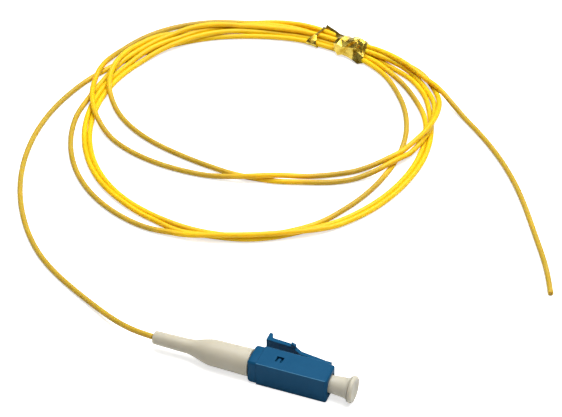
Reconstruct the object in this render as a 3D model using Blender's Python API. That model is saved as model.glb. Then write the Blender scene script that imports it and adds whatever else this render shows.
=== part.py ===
"""Simplex fibre optic pigtail: a plug with its dust cap and boot, and a coiled buffered fibre.

The plug lies on its side with its latch away from the viewer. Its axis runs along +X, from
the boot to the dust cap. The fibre leaves the boot, makes five turns that a foil twist tie
holds at the back, and ends in a cut. Everything is in metres, with +Z up.
"""

import math

import bmesh
import bpy
import numpy as np
from mathutils import Vector

# Clearance that touching pieces keep
GAP = 0.0003

# Housing: a square sleeve whose nose steps in on the latch's side
HOUSING_LENGTH = 0.0119
HOUSING_WIDTH = 0.0045
HOUSING_BELLY = 0.00217
HOUSING_BACK = 0.00217
HOUSING_EDGE = 0.00018
FRONT_EDGE = 0.0003
NOSE_LENGTH = 0.0011
NOSE_STEP = 0.0003
NOSE_BORE = 0.0034
NOSE_BORE_DEPTH = 0.0060
WINDOW_AT = 0.0032
WINDOW_OFFSET = 0.00004
WINDOW_LENGTH = 0.0012
WINDOW_WIDTH = 0.00125
WINDOW_DEPTH = 0.0004
WINDOW_SLOT = 0.00033
LEDGE_LENGTH = 0.0004
LEDGE_HEIGHT = 0.00067
LEDGE_SETBACK = 0.0002

# Collar that closes the housing behind
COLLAR_LENGTH = 0.0013
COLLAR_ROUND = 0.0005
COLLAR_REAR_EDGE = 0.0004

# Latch: a sloping arm with two lugs and a thumb hook
LATCH_THICKNESS = 0.00075
LATCH_ROOT_WIDTH = 0.0035
LATCH_ROOT_LENGTH = 0.0010
LATCH_ARM_WIDTH = 0.0020
LATCH_TAPER_LENGTH = 0.0030
ELBOW_AT = 0.0053
ELBOW_RISE = 0.00217
KNEE_AT = 0.0034
KNEE_RISE = 0.0033
LATCH_END_AT = -0.00017
LATCH_END_RISE = 0.00356
HOOK_LENGTH = 0.00083
HOOK_RISE = 0.0045
HOOK_CREST = 0.0004
LUG_SPAN = 0.0033
LUG_CREST = 0.0008
LUG_RISE = 0.0030
LUG_INSET = 0.0001

# Ferrule and dust cap
FERRULE_DIAMETER = 0.00125
FERRULE_PROUD = 0.0008
FERRULE_CHAMFER = 0.0002
CAP_LENGTH = 0.0039
CAP_INSERTED = 0.0037
CAP_TUBE = 0.0028
CAP_TUBE_FLARED = 0.0032
CAP_FLARE_LENGTH = 0.0010
CAP_RIM = 0.0044
CAP_RIM_THICKNESS = 0.0006

# Boot: a thin tip, a flare and a stout root
BOOT_LENGTH = 0.0164
BOOT_TIP = 0.0022
BOOT_NECK = 0.0024
BOOT_NECK_LENGTH = 0.0057
BOOT_FLARE_LENGTH = 0.0047
BOOT_SHOULDER = 0.0043
BOOT_TIP_EDGE = 0.0001

# Fibre
FIBRE_DIAMETER = 0.00095
POINT_SPACING = 0.0030
SAMPLE_SPACING = 0.0008
RAMP_LENGTH = 0.0090
LIFT_GAP = 0.00025

# Coil, seen from above: compass degrees go round from +X towards +Y
COIL_CENTRE = (-0.0237, 0.0571)
TIE_DEGREES = 80
TIE_HALF_DEGREES = 11
STATION_DEGREES = 30
TIE_INNER_REACH = 0.0271

# Place of each pass under the tie, in strand pitches from the inner one: two lie on the other four
TIE_PLACES = (0, 1, 2, 1.5, 3, 2.5)

# Reach of each turn in millimetres, every 30 degrees clockwise from the tie
TURN_REACHES = (
    (27.8, 26.6, 25.7, 26.7, 28.2, 28.0, 28.6, 28.5, 28.4, 28.2, 28.5),
    (29.6, 29.8, 28.6, 28.3, 29.3, 29.6, 29.8, 29.6, 29.5, 29.3, 29.5),
    (31.4, 31.2, 30.0, 29.5, 29.2, 31.4, 32.4, 31.7, 30.6, 30.1, 29.0),
    (32.5, 30.7, 23.7, 16.3, 12.9, 12.2, 14.2, 20.9, 29.8, 31.2, 30.5),
    (34.2, 30.9, 21.2, 14.8, 13.5, 14.5, 18.7, 26.4, 32.2, 33.5, 32.4),
)

# Route of the fibre before and after its turns, in millimetres from the plug's own origin
LEAD_POINTS = (
    (-19.4, 0.1, 2.2), (-22.1, 0.7, 1.9), (-25.4, 2.0, 1.4), (-30.0, 4.4, 0.85),
    (-36.7, 8.1, 0.5), (-43.8, 12.8, 0.475), (-50.1, 19.6, 0.475), (-55.4, 28.8, 0.475),
    (-58.4, 38.8, 0.475), (-59.0, 48.3, 0.475), (-57.4, 57.5, 0.475), (-53.8, 66.2, 0.475),
    (-48.5, 73.3, 0.475), (-41.7, 78.8, 0.475), (-33.3, 82.8, 0.475),
)
TAIL_POINTS = (
    (-2.8, 82.2, 0.475), (5.4, 76.9, 0.475), (12.1, 71.6, 0.475), (19.2, 64.7, 0.475),
    (25.4, 56.5, 0.475), (30.8, 47.5, 0.475), (34.8, 40.4, 0.475), (37.3, 34.8, 0.475),
)

# Twist tie: two foil bands round the six strands, a strap between them and a twisted knot
TIE_WALL = 0.0003
TIE_BAND_WIDTH = 0.0025
TIE_BAND_DEGREES = (87.0, 74.0)
TIE_STRAP_WIDTH = 0.0025
TIE_KNOT = (0.0057, 0.0042, 0.0018)
TIE_KNOT_SHIFT = (-0.0005, -0.0013)
TIE_LIFT_MARGIN = 0.0010

# Places that follow from the sizes above
AXIS_HEIGHT = HOUSING_WIDTH / 2
NOSE_REAR = HOUSING_LENGTH - NOSE_LENGTH
COLLAR_REAR = -GAP - COLLAR_LENGTH
BOOT_REAR = COLLAR_REAR - GAP
BOOT_ROOT = HOUSING_WIDTH
BOOT_END = BOOT_REAR - BOOT_LENGTH
CAP_END = HOUSING_LENGTH + CAP_LENGTH
HOOK_TOP = HOUSING_BACK + HOOK_RISE
PLUG_CENTRE_X = (BOOT_END + CAP_END) / 2
PLUG_CENTRE_Y = (HOOK_TOP - BOOT_ROOT / 2) / 2
FIBRE_RADIUS = FIBRE_DIAMETER / 2
STRAND_PITCH = FIBRE_DIAMETER + GAP
LAYER_RISE = STRAND_PITCH * math.sqrt(3) / 2
TIE_SPAN = max(TIE_PLACES) * STRAND_PITCH
TIE_MIDDLE_REACH = TIE_INNER_REACH + TIE_SPAN / 2
LEDGE_FRONT = NOSE_REAR - LEDGE_SETBACK
LEDGE_REAR = LEDGE_FRONT - LEDGE_LENGTH
HINGE_X = LEDGE_REAR - 2 * GAP
HINGE_Y = HOUSING_BACK + LEDGE_HEIGHT / 2


def clear_scene():
    for obj in list(bpy.data.objects):
        bpy.data.objects.remove(obj)


def material(name, colour, roughness, metallic=0.0):
    made = bpy.data.materials.new(name)
    made.use_nodes = True
    shader = made.node_tree.nodes["Principled BSDF"]
    shader.inputs["Base Color"].default_value = (*colour, 1.0)
    shader.inputs["Roughness"].default_value = roughness
    shader.inputs["Metallic"].default_value = metallic
    made.diffuse_color = (*colour, 1.0)
    return made


def frame_empty(name, place, parent=None):
    empty = bpy.data.objects.new(name, None)
    empty.location = place
    empty.parent = parent
    bpy.context.collection.objects.link(empty)
    return empty


def mesh_object(name, bm, parent, finish, smooth_angle=None):
    """Close the bmesh into an object of its own, placed by its parent."""
    bmesh.ops.recalc_face_normals(bm, faces=bm.faces)
    mesh = bpy.data.meshes.new(name)
    bm.to_mesh(mesh)
    bm.free()
    if smooth_angle:
        mesh.shade_smooth()
        mesh.set_sharp_from_angle(angle=math.radians(smooth_angle))
    obj = bpy.data.objects.new(name, mesh)
    obj.parent = parent
    if finish:
        mesh.materials.append(finish)
    bpy.context.collection.objects.link(obj)
    return obj


def box_bmesh(low, high):
    bm = bmesh.new()
    bmesh.ops.create_cube(bm, size=1.0)
    low, high = Vector(low), Vector(high)
    bmesh.ops.scale(bm, vec=high - low, verts=bm.verts)
    bmesh.ops.translate(bm, vec=(low + high) / 2, verts=bm.verts)
    return bm


def turned_bmesh(profile, steps):
    """Spin a profile of (x, radius) points about the X axis."""
    bm = bmesh.new()
    points = [bm.verts.new((x, 0, radius)) for x, radius in profile]
    edges = [bm.edges.new(pair) for pair in zip(points, points[1:])]
    bmesh.ops.spin(
        bm, geom=points + edges, cent=(0, 0, 0), axis=(1, 0, 0),
        angle=math.tau, steps=steps, use_merge=True,
    )
    bmesh.ops.remove_doubles(bm, verts=bm.verts, dist=1e-7)
    return bm


def prism_bmesh(outline, low, high):
    """Extrude an outline of (x, y) points from one height to another."""
    bm = bmesh.new()
    face = bm.faces.new([bm.verts.new((x, y, low)) for x, y in outline])
    grown = bmesh.ops.extrude_face_region(bm, geom=[face])["geom"]
    moved = [item for item in grown if isinstance(item, bmesh.types.BMVert)]
    bmesh.ops.translate(bm, vec=(0, 0, high - low), verts=moved)
    return bm


def round_edges(bm, chosen, width, segments):
    edges = [edge for edge in bm.edges if chosen(edge)]
    bmesh.ops.bevel(
        bm, geom=edges, offset=width, segments=segments, profile=0.5,
        affect="EDGES", material=-1,
    )


def along_x(edge):
    first, second = (vert.co for vert in edge.verts)
    return abs(first.y - second.y) < 1e-6 and abs(first.z - second.z) < 1e-6


def long_edge(edge):
    return along_x(edge) and edge.calc_length() > HOUSING_LENGTH / 2


def at_x(place):
    return lambda edge: all(abs(vert.co.x - place) < 1e-6 for vert in edge.verts)


def combine(obj, other, operation):
    """Cut the other object from this one, or join it, and keep the other as a guide."""
    modifier = obj.modifiers.new(other.name, "BOOLEAN")
    modifier.operation = operation
    modifier.solver = "EXACT"
    modifier.object = other
    other.hide_render = True
    other.display_type = "WIRE"


def make_housing(parent, finish):
    """Square sleeve with a stepped nose, a bore in front and a window in each side."""
    half = HOUSING_WIDTH / 2
    outline = (
        (0, -HOUSING_BELLY), (HOUSING_LENGTH, -HOUSING_BELLY),
        (HOUSING_LENGTH, HOUSING_BACK - NOSE_STEP), (NOSE_REAR, HOUSING_BACK - NOSE_STEP),
        (NOSE_REAR, HOUSING_BACK), (0, HOUSING_BACK),
    )
    bm = prism_bmesh(outline, -half, half)
    round_edges(bm, at_x(HOUSING_LENGTH), FRONT_EDGE, 2)
    round_edges(bm, long_edge, HOUSING_EDGE, 2)
    housing = mesh_object("plug_housing", bm, parent, finish, 30)

    bore_end = HOUSING_LENGTH - NOSE_BORE_DEPTH
    past = HOUSING_LENGTH + GAP
    profile = ((bore_end, 0), (bore_end, NOSE_BORE / 2), (past, NOSE_BORE / 2), (past, 0))
    bore = mesh_object("nose_bore_cutter", turned_bmesh(profile, 24), parent, None)
    combine(housing, bore, "DIFFERENCE")

    ledge = box_bmesh(
        (LEDGE_REAR, HOUSING_BACK - LEDGE_HEIGHT / 2, -LATCH_ROOT_WIDTH / 2),
        (LEDGE_FRONT, HOUSING_BACK + LEDGE_HEIGHT, LATCH_ROOT_WIDTH / 2),
    )
    combine(housing, mesh_object("latch_ledge_guide", ledge, parent, None), "UNION")

    for side in (-1, 1):
        face = side * half
        window = prism_bmesh(window_outline(), face - WINDOW_DEPTH, face + WINDOW_DEPTH)
        cutter = mesh_object(f"window_cutter_{side + 1}", window, parent, None)
        combine(housing, cutter, "DIFFERENCE")
    return housing


def window_outline():
    """Three sides of a slot round a catch that fills the middle."""
    left = WINDOW_AT - WINDOW_LENGTH / 2
    right = WINDOW_AT + WINDOW_LENGTH / 2
    low = WINDOW_OFFSET - WINDOW_WIDTH / 2
    high = WINDOW_OFFSET + WINDOW_WIDTH / 2
    return (
        (left, low), (left + WINDOW_SLOT, low), (left + WINDOW_SLOT, high - WINDOW_SLOT),
        (right - WINDOW_SLOT, high - WINDOW_SLOT), (right - WINDOW_SLOT, low), (right, low),
        (right, high), (left, high),
    )


def make_collar(parent, finish):
    """Rear collar with the housing's own section, rounded where the boot meets it."""
    half = HOUSING_WIDTH / 2
    bm = box_bmesh((COLLAR_REAR, -HOUSING_BELLY, -half), (-GAP, HOUSING_BACK, half))
    round_edges(bm, along_x, COLLAR_ROUND, 4)
    round_edges(bm, at_x(COLLAR_REAR), COLLAR_REAR_EDGE, 2)
    return mesh_object("rear_collar", bm, parent, finish, 40)


def make_boot(parent, finish):
    neck_at = BOOT_END + BOOT_NECK_LENGTH
    shoulder_at = neck_at + BOOT_FLARE_LENGTH
    profile = [
        (BOOT_END, 0), (BOOT_END, BOOT_TIP / 2 - BOOT_TIP_EDGE),
        (BOOT_END + BOOT_TIP_EDGE, BOOT_TIP / 2), (neck_at, BOOT_NECK / 2),
    ]
    for step in range(1, 8):
        share = step / 8
        ease = share * share * (3 - 2 * share)
        radius = BOOT_NECK / 2 + (BOOT_SHOULDER - BOOT_NECK) / 2 * ease
        profile.append((neck_at + share * (shoulder_at - neck_at), radius))
    profile.append((shoulder_at, BOOT_SHOULDER / 2))
    profile += [(BOOT_REAR, BOOT_ROOT / 2), (BOOT_REAR, 0)]
    return mesh_object("strain_relief_boot", turned_bmesh(profile, 24), parent, finish, 40)


def make_ferrule(parent, finish):
    rear = HOUSING_LENGTH - NOSE_BORE_DEPTH + GAP
    tip = HOUSING_LENGTH + FERRULE_PROUD
    radius = FERRULE_DIAMETER / 2
    profile = (
        (rear, 0), (rear, radius), (tip - FERRULE_CHAMFER, radius),
        (tip, radius - FERRULE_CHAMFER), (tip, 0),
    )
    return mesh_object("ferrule", turned_bmesh(profile, 16), parent, finish, 40)


def make_dust_cap(parent, finish):
    """Tube over the ferrule, flared to a round rim that closes its outer end."""
    inner_end = HOUSING_LENGTH - CAP_INSERTED
    bore = FERRULE_DIAMETER / 2 + GAP
    bore_end = HOUSING_LENGTH + FERRULE_PROUD + GAP
    rim_back = CAP_END - CAP_RIM_THICKNESS
    flare_start = rim_back - CAP_FLARE_LENGTH
    profile = [(bore_end, 0), (bore_end, bore), (inner_end, bore), (inner_end, CAP_TUBE / 2)]
    profile.append((HOUSING_LENGTH + GAP, CAP_TUBE / 2))
    profile.append((flare_start, CAP_TUBE_FLARED / 2))
    for step in range(1, 5):
        turn = math.radians(90) * step / 5
        spread = (CAP_RIM - CAP_TUBE_FLARED) / 2
        radius = CAP_TUBE_FLARED / 2 + spread * (1 - math.cos(turn))
        profile.append((flare_start + CAP_FLARE_LENGTH * math.sin(turn), radius))
    edge = CAP_RIM_THICKNESS / 4
    profile += [
        (rim_back, CAP_RIM / 2 - edge), (rim_back + edge, CAP_RIM / 2),
        (CAP_END - edge, CAP_RIM / 2), (CAP_END, CAP_RIM / 2 - edge), (CAP_END, 0),
    ]
    return mesh_object("dust_cap", turned_bmesh(profile, 24), parent, finish, 40)


def make_latch(parent, finish):
    """Latch arm drawn in its plan, about the hinge's axis, with a lug on each side."""
    root_x = LEDGE_REAR - GAP
    neck_x = root_x - LATCH_ROOT_LENGTH
    root_in = HOUSING_BACK + GAP
    root_out = HOUSING_BACK + LEDGE_HEIGHT
    elbow = HOUSING_BACK + ELBOW_RISE
    knee = HOUSING_BACK + KNEE_RISE
    end = HOUSING_BACK + LATCH_END_RISE
    rear = LATCH_END_AT - HOOK_LENGTH
    slope = (elbow - root_out) / (root_x - ELBOW_AT)
    outline = (
        (root_x, root_in), (root_x, root_out), (ELBOW_AT, elbow), (KNEE_AT, knee),
        (LATCH_END_AT, end), (rear + HOOK_CREST, HOOK_TOP), (rear, HOOK_TOP),
        (rear, end - LATCH_THICKNESS), (KNEE_AT, knee - LATCH_THICKNESS),
        (ELBOW_AT, elbow - LATCH_THICKNESS), (neck_x, root_in + slope * GAP),
    )
    bm = prism_bmesh(about_hinge(outline), -LATCH_ROOT_WIDTH / 2, LATCH_ROOT_WIDTH / 2)
    for vert in bm.verts:
        share = min(max((neck_x - HINGE_X - vert.co.x) / LATCH_TAPER_LENGTH, 0), 1)
        width = LATCH_ROOT_WIDTH + (LATCH_ARM_WIDTH - LATCH_ROOT_WIDTH) * share
        vert.co.z = math.copysign(width / 2, vert.co.z)
    latch = mesh_object("latch_arm", bm, parent, finish)

    lug_top = HOUSING_BACK + LUG_RISE
    lug = (
        (KNEE_AT, lug_top), (KNEE_AT, knee - LATCH_THICKNESS + LUG_INSET),
        (ELBOW_AT - LUG_INSET, elbow - LATCH_THICKNESS + 2 * LUG_INSET),
        (ELBOW_AT - LUG_INSET, elbow - 2 * LUG_INSET), (KNEE_AT + LUG_CREST, lug_top),
    )
    lugs = prism_bmesh(about_hinge(lug), -LUG_SPAN / 2, LUG_SPAN / 2)
    combine(latch, mesh_object("latch_lugs_guide", lugs, parent, None), "UNION")
    return latch


def about_hinge(outline):
    return [(x - HINGE_X, y - HINGE_Y) for x, y in outline]


def coil_point(degrees, reach):
    angle = math.radians(degrees)
    return (
        COIL_CENTRE[0] + reach * math.cos(angle),
        COIL_CENTRE[1] + reach * math.sin(angle),
        FIBRE_RADIUS,
    )


def route_points():
    """Points that the fibre passes, with the index of those under the tie."""
    points = [(BOOT_END - GAP, 0, AXIS_HEIGHT)]
    points += [(x / 1000, y / 1000, z / 1000) for x, y, z in LEAD_POINTS]
    under_tie = []
    for count, place in enumerate(TIE_PLACES):
        for side in (1, 0, -1):
            if side == 0:
                under_tie.append(len(points))
            degrees = TIE_DEGREES + side * TIE_HALF_DEGREES
            points.append(coil_point(degrees, TIE_INNER_REACH + place * STRAND_PITCH))
        if count < len(TURN_REACHES):
            for station, reach in enumerate(TURN_REACHES[count], 1):
                degrees = TIE_DEGREES - station * STATION_DEGREES
                points.append(coil_point(degrees, reach / 1000))
    points += [(x / 1000, y / 1000, z / 1000) for x, y, z in TAIL_POINTS]
    return np.array(points), under_tie


def smooth_curve(points, spacing):
    """Natural cubic spline through the points, read at even steps of its length."""
    steps = np.linalg.norm(np.diff(points, axis=0), axis=1)
    knots = np.concatenate([[0], np.cumsum(steps)])
    count = len(points)
    system = np.eye(count)
    right = np.zeros_like(points)
    for i in range(1, count - 1):
        before, after = steps[i - 1], steps[i]
        system[i, i - 1:i + 2] = before, 2 * (before + after), after
        slope_after = (points[i + 1] - points[i]) / after
        slope_before = (points[i] - points[i - 1]) / before
        right[i] = 6 * (slope_after - slope_before)
    bend = np.linalg.solve(system, right)

    def at(place):
        i = np.clip(np.searchsorted(knots, place) - 1, 0, count - 2)
        step = steps[i][:, None]
        ahead = (place - knots[i])[:, None]
        left = step - ahead
        ends = (bend[i] * left**3 + bend[i + 1] * ahead**3) / (6 * step)
        first = (points[i] / step - bend[i] * step / 6) * left
        second = (points[i + 1] / step - bend[i + 1] * step / 6) * ahead
        return ends + first + second

    places = np.linspace(0, knots[-1], count * 40)
    dense = at(places)
    run = np.concatenate([[0], np.cumsum(np.linalg.norm(np.diff(dense, axis=0), axis=1))])
    even = np.linspace(0, run[-1], int(round(run[-1] / spacing)) + 1)
    curve = at(np.interp(even, run, places))
    return curve, np.interp(np.interp(knots, places, run), even, np.arange(len(even)))


def rest_on_itself(curve, spacing):
    """Lift each stretch over what was laid before it, in long low humps."""
    height = curve[:, 2].copy()
    ramp = int(round(RAMP_LENGTH / spacing))
    fall = 0.5 - 0.5 * np.cos(np.linspace(0, math.pi, ramp + 1))
    apart = 3 * ramp
    clear = FIBRE_DIAMETER + LIFT_GAP
    tie = np.array(coil_point(TIE_DEGREES, TIE_MIDDLE_REACH))[:2]
    tie_spread = math.radians(TIE_BAND_DEGREES[0] - TIE_BAND_DEGREES[1]) * TIE_MIDDLE_REACH
    tie_half = (tie_spread + TIE_BAND_WIDTH) / 2 + TIE_LIFT_MARGIN
    for i in range(len(curve)):
        need = curve[i, 2]
        if np.linalg.norm(curve[i, :2] - tie) < tie_half:
            need = FIBRE_RADIUS + TIE_WALL + GAP
        if i > apart:
            away = np.linalg.norm(curve[:i - apart, :2] - curve[i, :2], axis=1)
            near = np.flatnonzero(away < clear)
            if len(near):
                need = max(need, (height[near] + np.sqrt(clear**2 - away[near] ** 2)).max())
        rise = need - curve[i, 2]
        if rise <= 0:
            continue
        for step in range(-ramp, ramp + 1):
            if 0 <= i + step < len(curve):
                hump = curve[i + step, 2] + rise * (1 - fall[abs(step)])
                height[i + step] = max(height[i + step], hump)
    return np.column_stack([curve[:, :2], height])


def make_tube(name, points, parent, finish):
    data = bpy.data.curves.new(name, "CURVE")
    data.dimensions = "3D"
    data.bevel_depth = FIBRE_RADIUS
    data.bevel_resolution = 2
    data.use_fill_caps = True
    spline = data.splines.new("POLY")
    spline.points.add(len(points) - 1)
    for place, point in zip(spline.points, points):
        place.co = (*point, 1)
    data.materials.append(finish)
    obj = bpy.data.objects.new(name, data)
    obj.parent = parent
    bpy.context.collection.objects.link(obj)
    return obj


def make_fibre(parent, finish):
    """The fibre as one route, cut under the tie into its lead, its turns and its tail."""
    points, under_tie = route_points()
    curve, places = smooth_curve(points, SAMPLE_SPACING)
    curve = rest_on_itself(curve, SAMPLE_SPACING)
    cuts = [0] + [places[i] for i in under_tie] + [len(curve) - 1]
    names = ["fibre_lead"]
    names += [f"fibre_turn_{turn + 1}" for turn in range(len(TURN_REACHES))]
    names.append("fibre_tail")
    margin = GAP / 2 / SAMPLE_SPACING
    indices = np.arange(len(curve))
    for name, start, end in zip(names, cuts, cuts[1:]):
        start += margin if start else 0
        end -= margin if end < len(curve) - 1 else 0
        count = int(round((end - start) * SAMPLE_SPACING / POINT_SPACING)) + 1
        reads = np.linspace(start, end, count)
        tube = np.column_stack([np.interp(reads, indices, curve[:, k]) for k in range(3)])
        make_tube(name, tube, parent, finish)


def make_tie(parent, finish):
    """Two bands round the strands, a strap over them and a knot of twisted ends."""
    half_inside = TIE_SPAN / 2 + FIBRE_RADIUS + GAP
    top_inside = TIE_WALL + 2 * GAP + FIBRE_DIAMETER + LAYER_RISE
    top = top_inside + TIE_WALL
    bands = []
    for count, degrees in enumerate(TIE_BAND_DEGREES):
        centre = Vector(coil_point(degrees, TIE_MIDDLE_REACH))
        frame = frame_empty(f"tie_band_frame_{count}", (centre.x, centre.y, 0), parent)
        frame.rotation_euler.z = math.radians(degrees - 90)
        bm = box_bmesh(
            (-TIE_BAND_WIDTH / 2, -half_inside - TIE_WALL, 0),
            (TIE_BAND_WIDTH / 2, half_inside + TIE_WALL, top),
        )
        band = mesh_object("twist_tie" if count else "tie_band_guide", bm, frame, finish)
        hole = box_bmesh(
            (-TIE_BAND_WIDTH, -half_inside, TIE_WALL), (TIE_BAND_WIDTH, half_inside, top_inside)
        )
        combine(band, mesh_object(f"tie_band_cutter_{count}", hole, frame, None), "DIFFERENCE")
        bands.append(band)
    combine(bands[1], bands[0], "UNION")

    ends = [Vector(coil_point(degrees, TIE_MIDDLE_REACH)) for degrees in TIE_BAND_DEGREES]
    run = ends[1] - ends[0]
    strap_frame = frame_empty("tie_strap_frame", (*((ends[0] + ends[1]) / 2).xy, 0), parent)
    strap_frame.rotation_euler.z = math.atan2(run.y, run.x)
    half_length = run.length / 2 + TIE_BAND_WIDTH / 3
    strap = box_bmesh(
        (-half_length, -TIE_STRAP_WIDTH / 2, top_inside + TIE_WALL / 3),
        (half_length, TIE_STRAP_WIDTH / 2, top + TIE_WALL / 2),
    )
    combine(bands[1], mesh_object("tie_strap_guide", strap, strap_frame, None), "UNION")

    knot = bmesh.new()
    bmesh.ops.create_icosphere(knot, subdivisions=2, radius=0.5)
    bmesh.ops.scale(knot, vec=TIE_KNOT, verts=knot.verts)
    knot_place = (*TIE_KNOT_SHIFT, top + TIE_KNOT[2] / 2 - TIE_WALL / 2)
    bmesh.ops.translate(knot, vec=knot_place, verts=knot.verts)
    combine(bands[1], mesh_object("tie_knot_guide", knot, bands[1].parent, None), "UNION")


def main():
    clear_scene()
    blue = material("moulded_blue", (0.03, 0.13, 0.29), 0.45)
    white = material("moulded_white", (0.62, 0.60, 0.50), 0.5)
    ceramic = material("white_ceramic", (0.85, 0.84, 0.80), 0.2)
    yellow = material("yellow_buffer", (0.95, 0.50, 0.01), 0.4)
    gold = material("gold_foil", (0.80, 0.60, 0.10), 0.25, 1.0)

    ground = frame_empty("pigtail_frame", (-PLUG_CENTRE_X, -PLUG_CENTRE_Y, 0))
    axis = frame_empty("plug_axis", (0, 0, AXIS_HEIGHT), ground)
    hinge = frame_empty("latch_hinge", (HINGE_X, HINGE_Y, 0), axis)

    make_housing(axis, blue)
    make_collar(axis, blue)
    make_latch(hinge, blue)
    make_ferrule(axis, ceramic)
    make_dust_cap(axis, white)
    make_boot(axis, white)
    make_fibre(ground, yellow)
    make_tie(ground, gold)


main()
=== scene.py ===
"""Looks of the fibre optic pigtail: floor, light and camera, then each piece from the cord outwards."""

import math

import bmesh
import bpy
import numpy as np
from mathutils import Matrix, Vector, noise


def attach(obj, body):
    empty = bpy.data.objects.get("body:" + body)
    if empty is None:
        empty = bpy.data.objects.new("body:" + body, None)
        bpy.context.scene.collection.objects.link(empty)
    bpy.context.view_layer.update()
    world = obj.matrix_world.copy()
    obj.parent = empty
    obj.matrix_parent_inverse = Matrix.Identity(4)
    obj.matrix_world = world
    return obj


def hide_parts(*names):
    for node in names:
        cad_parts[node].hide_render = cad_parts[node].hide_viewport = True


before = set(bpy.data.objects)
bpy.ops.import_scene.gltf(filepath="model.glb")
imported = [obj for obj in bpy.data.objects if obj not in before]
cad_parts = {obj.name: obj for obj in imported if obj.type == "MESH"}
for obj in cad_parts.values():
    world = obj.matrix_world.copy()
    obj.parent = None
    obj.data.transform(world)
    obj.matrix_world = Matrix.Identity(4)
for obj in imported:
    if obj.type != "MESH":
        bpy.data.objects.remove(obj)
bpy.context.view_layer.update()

scene = bpy.context.scene
collection = scene.collection

# Floor, light and camera
# A white table top under a large soft lamp, with the plug near the lower edge of the view.
# The long lens looks down at 40 degrees from the side of the dust cap.
EYE = Vector((0.12802, -0.32183, 0.32313))
LOOK = Vector((-0.27577, 0.71468, -0.64279))
LENS_MM = 190.1
SENSOR_MM = 36.0
NEAREST_SEEN = 0.01
TABLE_SIZE = 3.0
TABLE_DROP = 0.00003
TABLE_GLOW = 0.68
SKY_DIM = 1.5
SKY_BRIGHT = 4.0
SKY_BRIGHT_SIDE = (0.0, 0.2, 0.98)
LAMP_PLACE = Vector((0.10, 0.25, 0.90))
LAMP_TARGET = Vector((-0.02, 0.04, 0))
LAMP_SIZE = 0.9
LAMP_POWER = 16.0


def link(name, data):
    made = bpy.data.objects.new(name, data)
    collection.objects.link(made)
    return made


def new_paint(name):
    """A new material, with its nodes, its links and its main shader."""
    paint = bpy.data.materials.new(name)
    paint.use_nodes = True
    nodes, links = paint.node_tree.nodes, paint.node_tree.links
    return paint, nodes, links, nodes["Principled BSDF"]


camera_data = bpy.data.cameras.new("camera")
camera_data.lens = LENS_MM
camera_data.sensor_width = SENSOR_MM
camera_data.clip_start = NEAREST_SEEN
camera = link("camera", camera_data)
camera.location = EYE
camera.rotation_euler = LOOK.to_track_quat("-Z", "Y").to_euler()
scene.camera = camera

table_mesh = bmesh.new()
bmesh.ops.create_grid(table_mesh, x_segments=1, y_segments=1, size=TABLE_SIZE / 2)
bmesh.ops.translate(table_mesh, vec=(0, 0, -TABLE_DROP), verts=table_mesh.verts)
table_data = bpy.data.meshes.new("table_top")
table_mesh.to_mesh(table_data)
table_mesh.free()
table = link("table_top", table_data)

table_paint, table_nodes, table_links, table_shader = new_paint("white_table")
table_shader.inputs["Base Color"].default_value = (0.80, 0.80, 0.80, 1)
table_shader.inputs["Roughness"].default_value = 0.9
table_shader.inputs["Specular IOR Level"].default_value = 0.0
table_shader.inputs["Emission Color"].default_value = (1.0, 1.0, 1.0, 1)
table_seen = table_nodes.new("ShaderNodeLightPath")
table_lift = table_nodes.new("ShaderNodeMath")
table_lift.operation = "MULTIPLY"
table_lift.inputs[1].default_value = TABLE_GLOW
table_links.new(table_seen.outputs["Is Camera Ray"], table_lift.inputs[0])
table_links.new(table_lift.outputs["Value"], table_shader.inputs["Emission Strength"])
table_data.materials.append(table_paint)

world = bpy.data.worlds.new("studio")
scene.world = world
world.use_nodes = True
world_nodes, world_links = world.node_tree.nodes, world.node_tree.links
sky = world_nodes["Background"]
direction = world_nodes.new("ShaderNodeTexCoord")
toward_light = world_nodes.new("ShaderNodeVectorMath")
toward_light.operation = "DOT_PRODUCT"
toward_light.inputs[1].default_value = SKY_BRIGHT_SIDE
glow = world_nodes.new("ShaderNodeMapRange")
glow.interpolation_type = "SMOOTHSTEP"
glow.inputs["From Min"].default_value = 0.15
glow.inputs["From Max"].default_value = 0.95
glow.inputs["To Min"].default_value = SKY_DIM
glow.inputs["To Max"].default_value = SKY_BRIGHT
seen = world_nodes.new("ShaderNodeLightPath")
backdrop = world_nodes.new("ShaderNodeMix")
backdrop.inputs["B"].default_value = 1.0
world_links.new(direction.outputs["Generated"], toward_light.inputs[0])
world_links.new(toward_light.outputs["Value"], glow.inputs["Value"])
world_links.new(seen.outputs["Is Camera Ray"], backdrop.inputs["Factor"])
world_links.new(glow.outputs["Result"], backdrop.inputs["A"])
world_links.new(backdrop.outputs["Result"], sky.inputs["Strength"])

lamp_data = bpy.data.lights.new("overhead_softbox", "AREA")
lamp_data.shape = "SQUARE"
lamp_data.size = LAMP_SIZE
lamp_data.energy = LAMP_POWER
lamp = link("overhead_softbox", lamp_data)
lamp.location = LAMP_PLACE
lamp.rotation_euler = (LAMP_TARGET - LAMP_PLACE).to_track_quat("-Z", "Y").to_euler()
scene.view_settings.view_transform = "Standard"
scene.view_settings.look = "None"

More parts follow.
